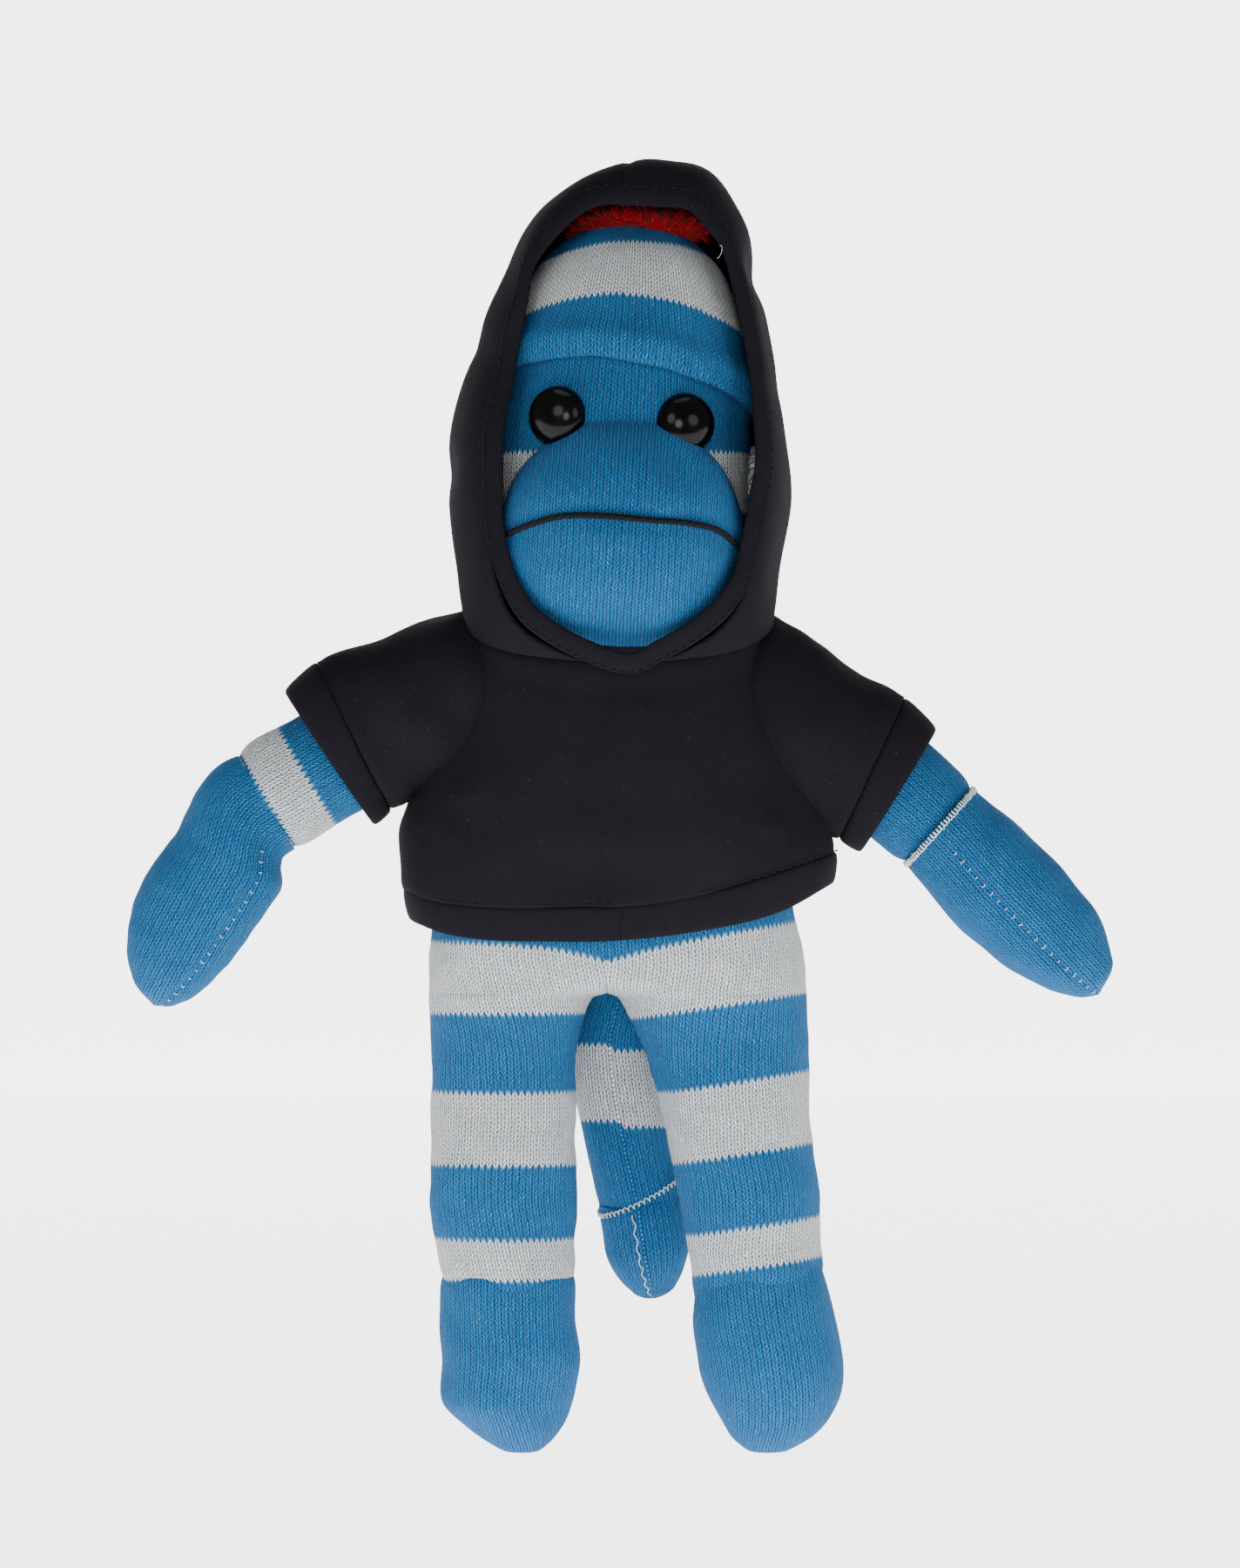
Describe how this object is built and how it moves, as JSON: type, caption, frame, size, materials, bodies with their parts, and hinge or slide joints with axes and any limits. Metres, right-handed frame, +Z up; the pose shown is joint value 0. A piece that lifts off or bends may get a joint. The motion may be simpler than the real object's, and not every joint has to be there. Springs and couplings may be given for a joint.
{
  "type": "stuffed sock monkey in a hooded sweatshirt",
  "caption": "Stuffed knitted sock monkey with a striped body, plastic eyes, jointed soft limbs and tail, standing in a short-sleeved hooded sweatshirt.",
  "frame": {"origin": "centre of the bounding box in plan, on the floor under the soles", "axes": "+Z up from the soles to the peak of the hood, the toy faces -Y, and its own left side is +X"},
  "size_m": [0.1937, 0.0702, 0.254],
  "materials": {
    "striped_knit": "machine-knitted sock in blue and off-white stripes, matt and slightly fuzzy",
    "blue_knit": "machine-knitted sock in plain blue, matt and slightly fuzzy",
    "fleece": "black cotton sweatshirt fleece, matt, a little faded",
    "filling": "white polyester fibre filling",
    "red_yarn": "cut red yarn, fuzzy",
    "black_yarn": "twisted black yarn",
    "white_thread": "white overlock sewing thread",
    "eye_plastic": "polished black plastic",
    "washer_plastic": "plain white plastic"
  },
  "bodies": {
    "torso": {"torso_knit": "striped_knit", "torso_filling": "filling", "sweatshirt_front": "fleece", "sweatshirt_back": "fleece", "sweatshirt_waist_hem": "fleece"},
    "neck": {"neck_gathering_thread": "white_thread"},
    "head": {"head_knit": "striped_knit", "head_filling": "filling", "muzzle_knit": "blue_knit", "muzzle_filling": "filling", "mouth_yarn": "black_yarn", "hat_knit": "striped_knit", "hat_pompom": "red_yarn", "right_ear": "striped_knit", "left_ear": "striped_knit", "right_eye": "eye_plastic", "left_eye": "eye_plastic", "right_eye_washer": "washer_plastic", "left_eye_washer": "washer_plastic", "hood_right_panel": "fleece", "hood_left_panel": "fleece", "hood_face_hem": "fleece"},
    "right_arm": {"right_arm_knit": "striped_knit", "right_arm_filling": "filling", "right_sleeve": "fleece", "right_sleeve_hem": "fleece"},
    "right_hand": {"right_mitt_knit": "blue_knit", "right_mitt_filling": "filling", "right_wrist_thread": "white_thread"},
    "right_leg": {"right_leg_knit": "striped_knit", "right_leg_filling": "filling"},
    "right_foot": {"right_foot_knit": "blue_knit", "right_foot_filling": "filling", "right_ankle_thread": "white_thread"},
    "left_arm": {"left_arm_knit": "striped_knit", "left_arm_filling": "filling", "left_sleeve": "fleece", "left_sleeve_hem": "fleece"},
    "left_hand": {"left_mitt_knit": "blue_knit", "left_mitt_filling": "filling", "left_wrist_thread": "white_thread"},
    "left_leg": {"left_leg_knit": "striped_knit", "left_leg_filling": "filling"},
    "left_foot": {"left_foot_knit": "blue_knit", "left_foot_filling": "filling", "left_ankle_thread": "white_thread"},
    "tail": {"tail_knit": "striped_knit", "tail_filling": "filling"},
    "tail_tip": {"tail_tip_knit": "blue_knit", "tail_tip_filling": "filling", "tail_seam_thread": "white_thread"}
  },
  "joints": [
    {"name": "neck_turn", "type": "hinge", "parent": "torso", "child": "neck", "pos_m": [0, 0.0012, 0.165], "axis": [0, -0.342, 0.9397], "range_deg": [-25, 25]},
    {"name": "neck_nod", "type": "hinge", "parent": "neck", "child": "head", "pos_m": [0, 0.0012, 0.165], "axis": [1, 0, 0], "range_deg": [-8, 8]},
    {"name": "right_shoulder", "type": "hinge", "parent": "torso", "child": "right_arm", "pos_m": [-0.031, 0.0012, 0.1515], "axis": [0, 1, 0], "range_deg": [-8, 55]},
    {"name": "right_wrist", "type": "hinge", "parent": "right_arm", "child": "right_hand", "pos_m": [-0.06988, 0.0012, 0.12805], "axis": [0, 1, 0], "range_deg": [-30, 30]},
    {"name": "left_shoulder", "type": "hinge", "parent": "torso", "child": "left_arm", "pos_m": [0.031, 0.0012, 0.1515], "axis": [0, -1, 0], "range_deg": [-8, 55]},
    {"name": "left_wrist", "type": "hinge", "parent": "left_arm", "child": "left_hand", "pos_m": [0.06216, 0.0012, 0.12334], "axis": [0, -1, 0], "range_deg": [-30, 30]},
    {"name": "right_hip", "type": "hinge", "parent": "torso", "child": "right_leg", "pos_m": [-0.0215, 0.0012, 0.084], "axis": [-1, 0, 0], "range_deg": [-6, 85]},
    {"name": "right_ankle", "type": "hinge", "parent": "right_leg", "child": "right_foot", "pos_m": [-0.0215, 0.0012, 0.0348], "axis": [-1, 0, 0], "range_deg": [-25, 25]},
    {"name": "left_hip", "type": "hinge", "parent": "torso", "child": "left_leg", "pos_m": [0.0215, 0.0012, 0.084], "axis": [-1, 0, 0], "range_deg": [-6, 85]},
    {"name": "left_ankle", "type": "hinge", "parent": "left_leg", "child": "left_foot", "pos_m": [0.02702, 0.0012, 0.0348], "axis": [-1, 0, 0], "range_deg": [-25, 25]},
    {"name": "tail_root", "type": "hinge", "parent": "torso", "child": "tail", "pos_m": [0, 0.0137, 0.094], "axis": [1, 0, 0], "range_deg": [-3, 70]},
    {"name": "tail_bend", "type": "hinge", "parent": "tail", "child": "tail_tip", "pos_m": [0.0064, 0.02356, 0.04952], "axis": [1, 0, 0], "range_deg": [-25, 25]}
  ]
}
